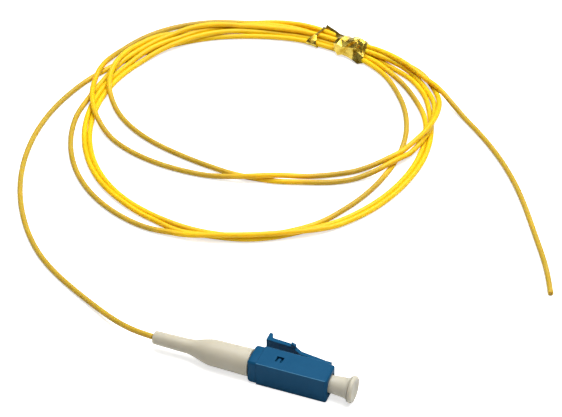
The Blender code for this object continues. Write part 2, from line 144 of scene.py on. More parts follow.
# Buffered fibre
# One length of tight-buffered fibre, 0.95 mm across: coated glass inside an extruded yellow jacket.
# It leaves the boot, sweeps round into five turns under the tie, and ends in a plain cut.
MM = 0.001
PLUG_PLACE = Vector((1.25, -2.21, 0)) * MM
CLEARANCE = 0.0003
FIBRE_DIAMETER = 0.00095
FIBRE_RADIUS = FIBRE_DIAMETER / 2
FIBRE_ROUND_STEPS = 6
FIBRE_SHARP_DEGREES = 50
AXIS_HEIGHT = 0.00225
BOOT_END = -0.0183
SAMPLE_SPACING = 0.0008
DENSE_STEPS = 40
RAMP_LENGTH = 0.0080
RAMP_STEPS = round(RAMP_LENGTH / SAMPLE_SPACING)
APART_STEPS = 3 * RAMP_STEPS
COIL_CENTRE = (-0.0237, 0.0571)
TIE_DEGREES = 80
TIE_HALF_DEGREES = 11
STATION_DEGREES = 30
TIE_INNER_REACH = 0.0271
# Place of each strand under the tie, in strands from the innermost: left, middle and right.
TIE_PLACES = ((0, 0, 0), (1, 1, 1), (2, 2, 2), (1.5, 1.5, 1.5), (3, 3, 3), (3.4, 2.5, 2.5))
TIE_WIDEST = 3
TIE_FLOOR = 0.00015
TIE_BAND_WIDTH = 0.0025
TIE_BAND_DEGREES = (87.0, 74.0)
TIE_LIFT_MARGIN = 0.0010
TIE_SHIFTS = (0.0, 0.0001, 0.0005)
# Reach of each turn from the coil's centre in millimetres, every 30 degrees round from the tie.
TURN_REACHES = (
    (27.8, 26.6, 25.7, 26.7, 28.2, 28.0, 28.6, 28.5, 28.4, 28.2, 28.49),
    (29.6, 29.8, 28.6, 28.3, 29.3, 29.6, 29.8, 29.6, 29.5, 29.3, 29.46),
    (31.4, 31.2, 30.0, 29.5, 29.2, 31.4, 32.4, 31.7, 30.6, 30.1, 28.98),
    (32.5, 30.7, 23.7, 16.3, 12.9, 12.2, 14.2, 20.9, 29.8, 31.2, 30.43),
    (34.2, 30.9, 21.2, 14.8, 13.5, 14.5, 18.7, 26.4, 32.2, 33.7, 31.70),
)
LEAD_POINTS = (
    (-19.4, 0.1, 2.2), (-22.1, 0.7, 1.9), (-25.4, 2.0, 1.4), (-30.0, 4.4, 0.85),
    (-36.7, 8.1, 0.5), (-43.8, 12.8, 0.475), (-50.1, 19.6, 0.475), (-55.4, 28.8, 0.475),
    (-58.4, 38.8, 0.475), (-59.0, 48.3, 0.475), (-57.4, 57.5, 0.475), (-53.8, 66.2, 0.475),
    (-48.5, 73.3, 0.475), (-41.7, 78.8, 0.475), (-33.2, 82.9, 0.475),
)
TAIL_POINTS = (
    (-2.8, 82.2, 0.475), (5.4, 76.9, 0.475), (12.1, 71.6, 0.475), (19.2, 64.7, 0.475),
    (25.4, 56.5, 0.475), (30.8, 47.5, 0.475), (34.8, 40.4, 0.475), (37.3, 34.8, 0.475),
)
STRAND_PITCH = FIBRE_DIAMETER + CLEARANCE
TIE_MIDDLE_REACH = TIE_INNER_REACH + TIE_WIDEST / 2 * STRAND_PITCH
LAY_CLEARANCE = 0.00002
SNUG_PITCH = FIBRE_DIAMETER + LAY_CLEARANCE
TIE_FREE_LENGTH = 0.0060
PULL_REACH = 0.0008
PULL_SMOOTHING = 6
PULLS = 2
COMPANY_REACH = 0.0016
GLASS_RADIUS = 0.000125
# Jacket colours: the packed one is brighter and more golden, painted light for the light that strands in a
# bundle bounce onto each other.
FIBRE_ALONE = (0.52, 0.355, 0.035)
FIBRE_PACKED_PAINTED_LIGHT = (0.90, 0.56, 0.006)


def coil_point(degrees, reach):
    angle = math.radians(degrees)
    return (
        COIL_CENTRE[0] + reach * math.cos(angle),
        COIL_CENTRE[1] + reach * math.sin(angle),
        FIBRE_RADIUS,
    )


TIE_CENTRE = coil_point(TIE_DEGREES, TIE_MIDDLE_REACH)


def route_points():
    """The points that the fibre passes, from the boot to its cut."""
    points = [(BOOT_END - CLEARANCE, 0, AXIS_HEIGHT)]
    points += [(x * MM, y * MM, z * MM) for x, y, z in LEAD_POINTS]
    snug_inner = TIE_MIDDLE_REACH - TIE_WIDEST / 2 * SNUG_PITCH
    for count, places in enumerate(TIE_PLACES):
        for side, place, shift in zip((1, 0, -1), places, TIE_SHIFTS):
            degrees = TIE_DEGREES + side * TIE_HALF_DEGREES
            points.append(coil_point(degrees, snug_inner + place * SNUG_PITCH + shift))
        if count < len(TURN_REACHES):
            for station, reach in enumerate(TURN_REACHES[count], 1):
                points.append(coil_point(TIE_DEGREES - station * STATION_DEGREES, reach * MM))
    points += [(x * MM, y * MM, z * MM) for x, y, z in TAIL_POINTS]
    return np.array(points)


def smooth_curve(points):
    """Natural cubic spline through the points, read at even steps of its length."""
    steps = np.linalg.norm(np.diff(points, axis=0), axis=1)
    knots = np.concatenate([[0], np.cumsum(steps)])
    count = len(points)
    system = np.eye(count)
    right = np.zeros_like(points)
    for i in range(1, count - 1):
        before, after = steps[i - 1], steps[i]
        system[i, i - 1:i + 2] = before, 2 * (before + after), after
        slope_after = (points[i + 1] - points[i]) / after
        slope_before = (points[i] - points[i - 1]) / before
        right[i] = 6 * (slope_after - slope_before)
    bend = np.linalg.solve(system, right)

    def at(place):
        i = np.clip(np.searchsorted(knots, place) - 1, 0, count - 2)
        step = steps[i][:, None]
        ahead = (place - knots[i])[:, None]
        left = step - ahead
        ends = (bend[i] * left**3 + bend[i + 1] * ahead**3) / (6 * step)
        first = (points[i] / step - bend[i] * step / 6) * left
        second = (points[i + 1] / step - bend[i + 1] * step / 6) * ahead
        return ends + first + second

    places = np.linspace(0, knots[-1], count * DENSE_STEPS)
    dense = at(places)
    run = np.concatenate([[0], np.cumsum(np.linalg.norm(np.diff(dense, axis=0), axis=1))])
    even = np.linspace(0, run[-1], round(run[-1] / SAMPLE_SPACING) + 1)
    return at(np.interp(even, run, places))


def rest_on_itself(curve):
    """Lift each stretch over what was laid before it, in long low humps."""
    height = curve[:, 2].copy()
    fall = 0.5 - 0.5 * np.cos(np.linspace(0, math.pi, RAMP_STEPS + 1))
    tie = np.array(TIE_CENTRE[:2])
    tie_spread = math.radians(TIE_BAND_DEGREES[0] - TIE_BAND_DEGREES[1]) * TIE_MIDDLE_REACH
    tie_half = (tie_spread + TIE_BAND_WIDTH) / 2 + TIE_LIFT_MARGIN
    for i in range(len(curve)):
        need = curve[i, 2]
        if np.linalg.norm(curve[i, :2] - tie) < tie_half:
            need = FIBRE_RADIUS + TIE_FLOOR
        if i > APART_STEPS:
            away = np.linalg.norm(curve[:i - APART_STEPS, :2] - curve[i, :2], axis=1)
            near = np.flatnonzero(away < SNUG_PITCH)
            if len(near):
                need = max(need, (height[near] + np.sqrt(SNUG_PITCH**2 - away[near] ** 2)).max())
        rise = need - curve[i, 2]
        if rise <= 0:
            continue
        for step in range(-RAMP_STEPS, RAMP_STEPS + 1):
            if 0 <= i + step < len(curve):
                hump = curve[i + step, 2] + rise * (1 - fall[abs(step)])
                height[i + step] = max(height[i + step], hump)
    return np.column_stack([curve[:, :2], height])


def smoothed(values):
    """Even out one value per place along the fibre."""
    window = np.hanning(2 * PULL_SMOOTHING + 1)
    return np.convolve(values, window / window.sum(), mode="same")


def draw_together(curve):
    """Pull strands that lie side by side up to each other, as they do by their own spring."""
    shift = np.zeros((len(curve), 2))
    tie = np.array(TIE_CENTRE[:2])
    order = np.arange(len(curve))
    for i in range(len(curve)):
        if np.linalg.norm(curve[i, :2] - tie) < TIE_FREE_LENGTH:
            continue
        level = np.abs(curve[:, 2] - curve[i, 2]) < FIBRE_RADIUS
        others = curve[(np.abs(order - i) > APART_STEPS) & level]
        away = others[:, :2] - curve[i, :2]
        gaps = np.linalg.norm(away, axis=1)
        if not len(gaps):
            continue
        nearest = int(np.argmin(gaps))
        spare = gaps[nearest] - SNUG_PITCH
        if 0 < spare < PULL_REACH:
            pull = spare / 2 * min(1, 2 - 2 * spare / PULL_REACH)
            shift[i] = away[nearest] / gaps[nearest] * pull
    drawn = curve.copy()
    for axis in range(2):
        drawn[:, axis] += smoothed(shift[:, axis])
    return drawn


def company(curve):
    """How closely other strands lie round each place: 0 for one alone, 1 inside the bundle."""
    order = np.arange(len(curve))
    share = np.zeros(len(curve))
    for i in range(len(curve)):
        gaps = np.linalg.norm(curve[np.abs(order - i) > APART_STEPS] - curve[i], axis=1)
        share[i] = np.clip((COMPANY_REACH - gaps.min()) / (COMPANY_REACH - FIBRE_DIAMETER), 0, 1)
    return smoothed(share)


laid_flat = smooth_curve(route_points())
fibre_route = rest_on_itself(laid_flat)
for pull in range(PULLS):
    fibre_route[:, :2] = draw_together(fibre_route)[:, :2]
    fibre_route[:, 2] = laid_flat[:, 2]
    fibre_route = rest_on_itself(fibre_route)
fibre_company = company(fibre_route)
fibre_route = fibre_route + np.array(PLUG_PLACE)

fibre_curve = bpy.data.curves.new("fibre_run", "CURVE")
fibre_curve.dimensions = "3D"
fibre_curve.bevel_depth = FIBRE_RADIUS
fibre_curve.bevel_resolution = FIBRE_ROUND_STEPS
fibre_spline = fibre_curve.splines.new("POLY")
fibre_spline.points.add(len(fibre_route) - 1)
for place, point in zip(fibre_spline.points, fibre_route):
    place.co = (*point, 1)
fibre_guide = link("fibre_run", fibre_curve)
fibre_data = bpy.data.meshes.new_from_object(
    fibre_guide.evaluated_get(bpy.context.evaluated_depsgraph_get())
)
bpy.data.objects.remove(fibre_guide)
bpy.data.curves.remove(fibre_curve)
fibre_data.name = "buffered_fibre"
ring = len(fibre_data.vertices) // len(fibre_route)
# How packed each place is; it steers the painted bounce light in the jacket's colour.
packed = fibre_data.attributes.new("packed", "FLOAT", "POINT")
packed.data.foreach_set("value", np.repeat(fibre_company, ring).astype(np.float32))

fibre_mesh = bmesh.new()
fibre_mesh.from_mesh(fibre_data)
for end in (0, len(fibre_route) - 1):
    fibre_mesh.verts.ensure_lookup_table()
    rim = [fibre_mesh.verts[end * ring + step] for step in range(ring)]
    cut = fibre_mesh.faces.new(rim)
    bmesh.ops.inset_region(
        fibre_mesh, faces=[cut], thickness=FIBRE_RADIUS - GLASS_RADIUS, depth=0, use_even_offset=True
    )
    cut.material_index = 1
bmesh.ops.recalc_face_normals(fibre_mesh, faces=fibre_mesh.faces)
fibre_mesh.to_mesh(fibre_data)
fibre_mesh.free()
fibre_data.shade_smooth()
fibre_data.set_sharp_from_angle(angle=math.radians(FIBRE_SHARP_DEGREES))
fibre = link("buffered_fibre", fibre_data)


def fibre_jacket_paint():
    """Yellow jacket with painted light: duller and greener where a strand lies alone, brighter gold where
    strands lie packed, standing in for the light they bounce onto each other.
    """
    paint, nodes, links, shader = new_paint("yellow_buffer")
    shader.inputs["Specular IOR Level"].default_value = 0.25
    shader.inputs["Subsurface Weight"].default_value = 0.7
    shader.inputs["Subsurface Radius"].default_value = (1.0, 0.7, 0.1)
    shader.inputs["Subsurface Scale"].default_value = FIBRE_DIAMETER * 1.2
    near = nodes.new("ShaderNodeAttribute")
    near.attribute_name = "packed"
    where = nodes.new("ShaderNodeTexCoord")
    mottle = nodes.new("ShaderNodeTexNoise")
    mottle.inputs["Scale"].default_value = 260.0
    mottle.inputs["Detail"].default_value = 3.0
    base = nodes.new("ShaderNodeMix")
    base.data_type = "RGBA"
    base.inputs["A"].default_value = (*FIBRE_ALONE, 1)
    base.inputs["B"].default_value = (*FIBRE_PACKED_PAINTED_LIGHT, 1)
    dulled = nodes.new("ShaderNodeMix")
    dulled.data_type = "RGBA"
    dulled.blend_type = "MULTIPLY"
    dulled.inputs["Factor"].default_value = 0.35
    grey = nodes.new("ShaderNodeMapRange")
    grey.inputs["To Min"].default_value = 0.55
    grey.inputs["To Max"].default_value = 1.3
    rough = nodes.new("ShaderNodeMapRange")
    rough.inputs["To Min"].default_value = 0.30
    rough.inputs["To Max"].default_value = 0.50
    ripple = nodes.new("ShaderNodeTexNoise")
    ripple.inputs["Scale"].default_value = 2500.0
    bump = nodes.new("ShaderNodeBump")
    bump.inputs["Strength"].default_value = 0.5
    bump.inputs["Distance"].default_value = 0.000008
    links.new(where.outputs["Object"], mottle.inputs["Vector"])
    links.new(where.outputs["Object"], ripple.inputs["Vector"])
    links.new(near.outputs["Fac"], base.inputs["Factor"])
    links.new(mottle.outputs["Fac"], grey.inputs["Value"])
    links.new(mottle.outputs["Fac"], rough.inputs["Value"])
    links.new(base.outputs["Result"], dulled.inputs["A"])
    links.new(grey.outputs["Result"], dulled.inputs["B"])
    links.new(dulled.outputs["Result"], shader.inputs["Base Color"])
    links.new(rough.outputs["Result"], shader.inputs["Roughness"])
    links.new(ripple.outputs["Fac"], bump.inputs["Height"])
    links.new(bump.outputs["Normal"], shader.inputs["Normal"])
    return paint


glass_paint, _, _, glass_shader = new_paint("glass_core")
glass_shader.inputs["Base Color"].default_value = (0.75, 0.80, 0.82, 1)
glass_shader.inputs["Roughness"].default_value = 0.1
fibre_data.materials.clear()
fibre_data.materials.append(fibre_jacket_paint())
fibre_data.materials.append(glass_paint)

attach(fibre, "pigtail")
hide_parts("fibre_lead", *[f"fibre_turn_{turn}" for turn in range(1, 6)], "fibre_tail")

# Foil twist tie
# Strip of gold metallised film that binds the coil: wrapped round the six strands at two places,
# with a narrow strap from one wrap to the other, and its ends twisted into a crumpled knot.
TIE_FOIL = 0.00006
FOIL_LOWEST = 0.00008
FOIL_MERGE = 0.00001
CREASE_FINENESS = 1100
CREASE_SEED = 2
FOIL_SHARP_DEGREES = 14
TIE_CREASE = 0.00016
KNOT_CREASE = 0.00022
TIE_DRIFT = 0.06
tie_origin = Vector(TIE_CENTRE) + PLUG_PLACE
tie_origin.z = 0
tie_turn = math.radians(TIE_DEGREES)
TIE_ALONG = Vector((math.sin(tie_turn), -math.cos(tie_turn), 0))
TIE_ACROSS = Vector((math.cos(tie_turn), math.sin(tie_turn), 0))
tie_mesh = bmesh.new()


def tie_place(along, across, up):
    """World place of a point given in millimetres along, across and above the bundle."""
    return (TIE_ALONG * along + TIE_ACROSS * across + Vector((0, 0, up))) * MM


def foil_sheet(rows, seed, crease=TIE_CREASE, closed=False):
    """Lay a sheet of foil on rows of places, crease it into facets and add it to the tie."""
    columns = len(rows[0])
    sheet = bmesh.new()
    bmesh.ops.create_grid(sheet, x_segments=columns - 1, y_segments=len(rows) - 1, size=0.5)
    for vert in sheet.verts:
        column = round((vert.co.x + 0.5) * (columns - 1))
        row = round((vert.co.y + 0.5) * (len(rows) - 1))
        vert.co = rows[row][column]
    if closed:
        bmesh.ops.remove_doubles(sheet, verts=sheet.verts, dist=FOIL_MERGE)
    for vert in sheet.verts:
        vert.co += noise.noise_vector(vert.co * CREASE_FINENESS + Vector((seed, 0, 0))) * crease
        vert.co.z = max(vert.co.z, FOIL_LOWEST)
    bmesh.ops.triangulate(sheet, faces=sheet.faces)
    bmesh.ops.recalc_face_normals(sheet, faces=sheet.faces)
    bmesh.ops.solidify(sheet, geom=sheet.faces, thickness=TIE_FOIL)
    made = bpy.data.meshes.new("foil_sheet")
    sheet.to_mesh(made)
    sheet.free()
    tie_mesh.from_mesh(made)
    bpy.data.meshes.remove(made)


def foil_strip(stations, seed, closed=False):
    """Lead a strip of foil through stations, each a middle and the reach to the strip's edge."""
    rows = [[middle + reach * side for middle, reach in stations] for side in (-1, 0, 1)]
    foil_sheet(rows, seed, closed=closed)


def tie_loop(section, start, lean, half_width):
    """Stations of a wrap: a section of (across, up, width share) corners, leaning along the bundle."""
    stations = []
    for across, up, share in (*section, section[0]):
        along = start + lean * across
        middle = tie_place(along, across + TIE_DRIFT * along, up)
        stations.append((middle, tie_place(half_width * share, TIE_DRIFT * half_width * share, 0)))
    return stations


LEFT_SECTION = (
    (-2.15, 0.30, 1.0), (-2.30, 1.00, 1.0), (-1.90, 1.60, 0.8), (-1.00, 2.05, 0.25), (0.20, 2.20, 0.2),
    (1.30, 2.15, 0.2), (2.20, 1.85, 0.5), (2.75, 0.95, 0.9), (2.50, 0.20, 1.0), (1.00, 0.07, 1.0),
    (-1.20, 0.07, 1.0),
)
RIGHT_SECTION = (
    (-2.00, 0.30, 1.0), (-2.10, 1.00, 1.0), (-1.70, 1.70, 1.0), (-0.80, 2.10, 0.9), (0.40, 2.35, 0.8),
    (1.50, 2.20, 0.7), (2.20, 1.60, 0.8), (2.50, 0.90, 0.9), (2.20, 0.25, 1.0), (0.80, 0.07, 1.0),
    (-1.00, 0.07, 1.0),
)
noise.seed_set(CREASE_SEED)
# Each wrap has its section, its start along the bundle, its lean and half its width.
WRAPS = ((LEFT_SECTION, -3.80, 0.10, 1.05), (RIGHT_SECTION, 4.00, -0.20, 1.60))
for seed, (section, start, lean, half_width) in enumerate(WRAPS, 1):
    foil_strip(tie_loop(section, start, lean, half_width), seed, closed=True)
STRAP = (
    ((-3.60, 2.00, 1.95), (0.1, 0.20, 0.45)), ((-2.60, 1.75, 1.90), (0.1, 0.20, 0.45)),
    ((-1.40, 1.35, 1.95), (0.1, 0.25, 0.35)), ((-0.20, 0.75, 2.20), (0.1, 0.35, 0.25)),
    ((1.00, 0.10, 2.50), (0.0, 0.60, 0.10)),
)
KNOT_ROWS = (
    ((0.40, 2.40, 0.40), (1.40, 2.40, 0.35), (2.40, 2.45, 0.35), (3.40, 2.50, 0.40), (4.60, 2.40, 0.45),
     (5.50, 2.30, 0.40), (6.10, 2.20, 0.35)),
    ((0.30, 2.15, 1.55), (1.30, 2.20, 1.60), (2.30, 2.15, 1.55), (3.50, 2.30, 1.80), (4.60, 2.25, 1.70),
     (5.50, 2.15, 1.55), (6.00, 2.10, 1.40)),
    ((0.20, 0.40, 2.40), (1.35, 0.40, 2.95), (2.10, 0.45, 2.65), (3.60, 0.80, 3.50), (4.60, 1.05, 3.00),
     (5.30, 1.05, 2.60), (5.90, 0.95, 2.10)),
    ((0.30, -0.60, 2.55), (1.15, -0.60, 3.00), (2.25, -0.70, 2.60), (3.50, -0.30, 3.30), (4.50, -0.80, 3.20),
     (5.40, -0.60, 2.45), (6.10, -0.50, 1.80)),
    ((0.10, -1.60, 2.00), (1.00, -1.90, 2.55), (1.90, -1.70, 1.90), (3.00, -1.50, 2.15), (4.20, -1.60, 2.60),
     (5.20, -1.60, 1.90), (6.30, -1.50, 1.30)),
    ((0.50, -2.20, 1.10), (1.30, -2.40, 0.30), (2.00, -2.00, 0.55), (3.20, -2.10, 0.60), (4.40, -2.40, 0.45),
     (5.70, -2.70, 0.20), (6.50, -2.00, 0.35)),
)
TWIST = (
    ((2.60, -1.20, 2.60), (0.15, 0.45, 0.20)), ((3.60, -0.60, 3.35), (0.15, 0.50, -0.10)),
    ((4.60, -0.20, 3.50), (0.20, 0.55, 0.10)), ((5.30, -0.50, 2.70), (0.25, 0.45, 0.30)),
    ((5.50, -1.50, 1.60), (0.35, 0.25, 0.20)), ((5.60, -2.30, 0.80), (0.40, 0.15, 0.10)),
)
for seed, stations in enumerate((STRAP, TWIST), 3):
    foil_strip([(tie_place(*middle), tie_place(*reach)) for middle, reach in stations], seed)
foil_sheet([[tie_place(*place) for place in row] for row in KNOT_ROWS], seed=5, crease=KNOT_CREASE)
bmesh.ops.translate(tie_mesh, vec=tie_origin, verts=tie_mesh.verts)
tie_data = bpy.data.meshes.new("foil_twist_tie")
tie_mesh.to_mesh(tie_data)
tie_mesh.free()
tie_data.shade_smooth()
tie_data.set_sharp_from_angle(angle=math.radians(FOIL_SHARP_DEGREES))
tie = link("foil_twist_tie", tie_data)


def foil_paint():
    """Gold-lacquered foil whose colour and roughness drift at random over patches from dark brown to pale
    gold, with fine scratches.
    """
    paint, nodes, links, shader = new_paint("gold_foil")
    shader.inputs["Metallic"].default_value = 0.92
    where = nodes.new("ShaderNodeTexCoord")
    patch = nodes.new("ShaderNodeTexNoise")
    patch.inputs["Scale"].default_value = 1100.0
    patch.inputs["Detail"].default_value = 1.0
    tint = nodes.new("ShaderNodeValToRGB")
    tint.color_ramp.elements[0].position = 0.35
    tint.color_ramp.elements[0].color = (0.50, 0.30, 0.02, 1)
    tint.color_ramp.elements[1].position = 0.60
    tint.color_ramp.elements[1].color = (0.86, 0.65, 0.12, 1)
    rough = nodes.new("ShaderNodeMapRange")
    rough.inputs["To Min"].default_value = 0.16
    rough.inputs["To Max"].default_value = 0.32
    scratch = nodes.new("ShaderNodeTexNoise")
    scratch.inputs["Scale"].default_value = 5000.0
    scratch.inputs["Detail"].default_value = 2.0
    bump = nodes.new("ShaderNodeBump")
    bump.inputs["Strength"].default_value = 0.4
    bump.inputs["Distance"].default_value = 0.00001
    links.new(where.outputs["Object"], patch.inputs["Vector"])
    links.new(where.outputs["Object"], scratch.inputs["Vector"])
    links.new(patch.outputs["Fac"], tint.inputs["Fac"])
    links.new(patch.outputs["Fac"], rough.inputs["Value"])
    links.new(scratch.outputs["Fac"], bump.inputs["Height"])
    links.new(tint.outputs["Color"], shader.inputs["Base Color"])
    links.new(rough.outputs["Result"], shader.inputs["Roughness"])
    links.new(bump.outputs["Normal"], shader.inputs["Normal"])
    return paint


tie_data.materials.append(foil_paint())
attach(tie, "pigtail")
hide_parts("twist_tie")

# Plug housing
# Square sleeve injection-moulded in blue plastic, with a stepped nose and a catch window in each side.
# The collar is pressed in behind it, and the latch springs from the ledge on its back.
PLUG_AXIS = PLUG_PLACE + Vector((0, 0, AXIS_HEIGHT))
HOUSING_LENGTH = 0.0119
HOUSING_WIDTH = 0.0045
HOUSING_BELLY = 0.00217
HOUSING_BACK = 0.00217
HOUSING_EDGE = 0.00015
FRONT_EDGE = 0.00035
NOSE_LENGTH = 0.0011
NOSE_STEP = 0.0003
NOSE_BORE = 0.0034
NOSE_BORE_DEPTH = 0.0060
SEAM = 0.000015
LEDGE_REAR = 0.0102
LEDGE_FRONT = 0.0109
LEDGE_HEIGHT = 0.00082
LEDGE_WIDTH = 0.0035
HINGE = (0.0096, 0.002505)
WINDOW_AT = 0.0032
WINDOW_OFFSET = 0.00004
WINDOW_LENGTH = 0.0012
WINDOW_WIDTH = 0.00125
WINDOW_DEPTH = 0.0006
WINDOW_SLOT = 0.0004
MOULD_STEPS = 3
ROUND_FROM_DEGREES = 30
SHARP_DEGREES = 35
BORE_FACETS = 64
HINGE_ARC_POINTS = 9
TINY = 1e-6
MERGE_REACH = 1e-7


def prism_mesh(outline, low, high):
    """Extrude an outline of (x, y) points from one height to another."""
    mesh = bmesh.new()
    face = mesh.faces.new([mesh.verts.new((x, y, low)) for x, y in outline])
    grown = bmesh.ops.extrude_face_region(mesh, geom=[face])["geom"]
    moved = [item for item in grown if isinstance(item, bmesh.types.BMVert)]
    bmesh.ops.translate(mesh, vec=(0, 0, high - low), verts=moved)
    return mesh


def turned_mesh(profile, steps):
    """Spin a profile of (x, radius) points about the plug's axis."""
    mesh = bmesh.new()
    points = [mesh.verts.new((x, 0, radius)) for x, radius in profile]
    edges = [mesh.edges.new(pair) for pair in zip(points, points[1:])]
    bmesh.ops.spin(
        mesh, geom=points + edges, cent=(0, 0, 0), axis=(1, 0, 0),
        angle=math.tau, steps=steps, use_merge=True,
    )
    bmesh.ops.remove_doubles(mesh, verts=mesh.verts, dist=MERGE_REACH)
    return mesh


def plug_piece(name, mesh, paint=None, sharp_degrees=SHARP_DEGREES):
    """Place a mesh that was made about the plug's axis, and give it its paint."""
    bmesh.ops.recalc_face_normals(mesh, faces=mesh.faces)
    bmesh.ops.translate(mesh, vec=PLUG_AXIS, verts=mesh.verts)
    data = bpy.data.meshes.new(name)
    mesh.to_mesh(data)
    mesh.free()
    data.shade_smooth()
    data.set_sharp_from_angle(angle=math.radians(sharp_degrees))
    if paint:
        data.materials.append(paint)
    return link(name, data)


def settle(piece):
    """Turn the piece's modifiers into its own mesh."""
    graph = bpy.context.evaluated_depsgraph_get()
    made = bpy.data.meshes.new_from_object(piece.evaluated_get(graph))
    piece.modifiers.clear()
    old = piece.data
    piece.data = made
    bpy.data.meshes.remove(old)
    made.name = piece.name


def carve(piece, tool, operation="DIFFERENCE"):
    """Cut the tool out of the piece, or join it on, and drop the tool."""
    modifier = piece.modifiers.new(tool.name, "BOOLEAN")
    modifier.operation = operation
    modifier.solver = "EXACT"
    modifier.object = tool
    settle(piece)
    bpy.data.objects.remove(tool)


def round_over(piece, width, paint_slot=0, chosen=lambda edge: True):
    """Round the chosen sharp edges of the piece as a mould does."""
    mesh = bmesh.new()
    mesh.from_mesh(piece.data)
    layers = mesh.edges.layers.float
    weight = layers.get("bevel_weight_edge") or layers.new("bevel_weight_edge")
    for edge in mesh.edges:
        sharp = edge.calc_face_angle(0) > math.radians(ROUND_FROM_DEGREES)
        edge[weight] = float(sharp and chosen(edge))
    mesh.to_mesh(piece.data)
    mesh.free()
    modifier = piece.modifiers.new("mould_edge", "BEVEL")
    modifier.width = width
    modifier.segments = MOULD_STEPS
    modifier.limit_method = "WEIGHT"
    modifier.miter_outer = "MITER_ARC"
    modifier.material = paint_slot
    settle(piece)


def even_shading(piece):
    """Shade the rounded edges smoothly and keep the flats flat."""
    piece.data.shade_smooth()
    piece.data.set_sharp_from_angle(angle=math.radians(SHARP_DEGREES))
    modifier = piece.modifiers.new("even_shading", "WEIGHTED_NORMAL")
    modifier.keep_sharp = True
    settle(piece)


def moulded_skin_group():
    """Colour drift and fine spark-eroded grain of a moulded surface."""
    group = bpy.data.node_groups.new("moulded_skin", "ShaderNodeTree")
    for name, kind in (("Colour", "NodeSocketColor"), ("Drift Colour", "NodeSocketColor"),
                       ("Grain Scale", "NodeSocketFloat")):
        group.interface.new_socket(name=name, in_out="INPUT", socket_type=kind)
    for name, kind in (("Colour", "NodeSocketColor"), ("Roughness", "NodeSocketFloat"),
                       ("Height", "NodeSocketFloat")):
        group.interface.new_socket(name=name, in_out="OUTPUT", socket_type=kind)
    nodes, links = group.nodes, group.links
    given = nodes.new("NodeGroupInput")
    result = nodes.new("NodeGroupOutput")
    where = nodes.new("ShaderNodeTexCoord")
    grain = nodes.new("ShaderNodeTexNoise")
    grain.inputs["Detail"].default_value = 3.0
    drift = nodes.new("ShaderNodeTexNoise")
    drift.inputs["Scale"].default_value = 420.0
    drift.inputs["Detail"].default_value = 2.0
    blend = nodes.new("ShaderNodeMix")
    blend.data_type = "RGBA"
    rough = nodes.new("ShaderNodeMapRange")
    rough.inputs["To Min"].default_value = 0.32
    rough.inputs["To Max"].default_value = 0.48
    links.new(where.outputs["Object"], grain.inputs["Vector"])
    links.new(given.outputs["Grain Scale"], grain.inputs["Scale"])
    links.new(where.outputs["Object"], drift.inputs["Vector"])
    links.new(drift.outputs["Fac"], blend.inputs["Factor"])
    links.new(given.outputs["Colour"], blend.inputs["A"])
    links.new(given.outputs["Drift Colour"], blend.inputs["B"])
    links.new(drift.outputs["Fac"], rough.inputs["Value"])
    links.new(blend.outputs["Result"], result.inputs["Colour"])
    links.new(rough.outputs["Result"], result.inputs["Roughness"])
    links.new(grain.outputs["Fac"], result.inputs["Height"])
    return group


moulded_skin = moulded_skin_group()


def moulded_paint(name, colour, drift_colour, grain_scale, grain_depth, gloss):
    paint, nodes, links, shader = new_paint(name)
    skin = nodes.new("ShaderNodeGroup")
    skin.node_tree = moulded_skin
    skin.inputs["Colour"].default_value = (*colour, 1)
    skin.inputs["Drift Colour"].default_value = (*drift_colour, 1)
    skin.inputs["Grain Scale"].default_value = grain_scale
    shader.inputs["Specular IOR Level"].default_value = gloss
    bump = nodes.new("ShaderNodeBump")
    bump.inputs["Distance"].default_value = grain_depth
    bump.inputs["Strength"].default_value = 0.6
    links.new(skin.outputs["Colour"], shader.inputs["Base Color"])
    links.new(skin.outputs["Roughness"], shader.inputs["Roughness"])
    links.new(skin.outputs["Height"], bump.inputs["Height"])
    links.new(bump.outputs["Normal"], shader.inputs["Normal"])
    return paint


blue_plastic = moulded_paint(
    "moulded_blue", (0.004, 0.062, 0.145), (0.006, 0.078, 0.172),
    grain_scale=9000.0, grain_depth=0.000006, gloss=0.08,
)
# Painted highlight: the long edges' rounding gets a lighter blue base, full specular and a cyan specular
# tint, so a pale line shows along them; the plastic there is the same as on the flats.
painted_highlight_blue_edge = moulded_paint(
    "blue_edge_painted_highlight", (0.020, 0.130, 0.260), (0.024, 0.150, 0.290),
    grain_scale=9000.0, grain_depth=0.000003, gloss=1.0,
)
painted_highlight_blue_edge.node_tree.nodes["Principled BSDF"].inputs["Specular Tint"].default_value = (0.45, 0.80, 1.0, 1)

housing_half = HOUSING_WIDTH / 2
nose_rear = HOUSING_LENGTH - NOSE_LENGTH
housing = plug_piece("housing_shell", prism_mesh(
    ((SEAM, -HOUSING_BELLY), (HOUSING_LENGTH, -HOUSING_BELLY),
     (HOUSING_LENGTH, HOUSING_BACK - NOSE_STEP), (nose_rear, HOUSING_BACK - NOSE_STEP),
     (nose_rear, HOUSING_BACK), (SEAM, HOUSING_BACK)),
    -housing_half, housing_half,
), blue_plastic)


def hinge_arc(radius, clear=0.0):
    """Points on an arc about the latch's hinge, from the housing's back to the ledge's top."""
    low = HOUSING_BACK + clear - HINGE[1]
    high = HOUSING_BACK + LEDGE_HEIGHT - HINGE[1]
    turns = np.linspace(math.asin(low / radius), math.asin(high / radius), HINGE_ARC_POINTS)
    return [(HINGE[0] + radius * math.cos(turn), HINGE[1] + radius * math.sin(turn)) for turn in turns]


carve(housing, plug_piece("latch_ledge", prism_mesh(
    [(LEDGE_REAR, HOUSING_BACK - LEDGE_HEIGHT / 2), *hinge_arc(LEDGE_REAR - HINGE[0]),
     (LEDGE_FRONT, HOUSING_BACK + LEDGE_HEIGHT), (LEDGE_FRONT, HOUSING_BACK - LEDGE_HEIGHT / 2)],
    -LEDGE_WIDTH / 2, LEDGE_WIDTH / 2,
)), "UNION")


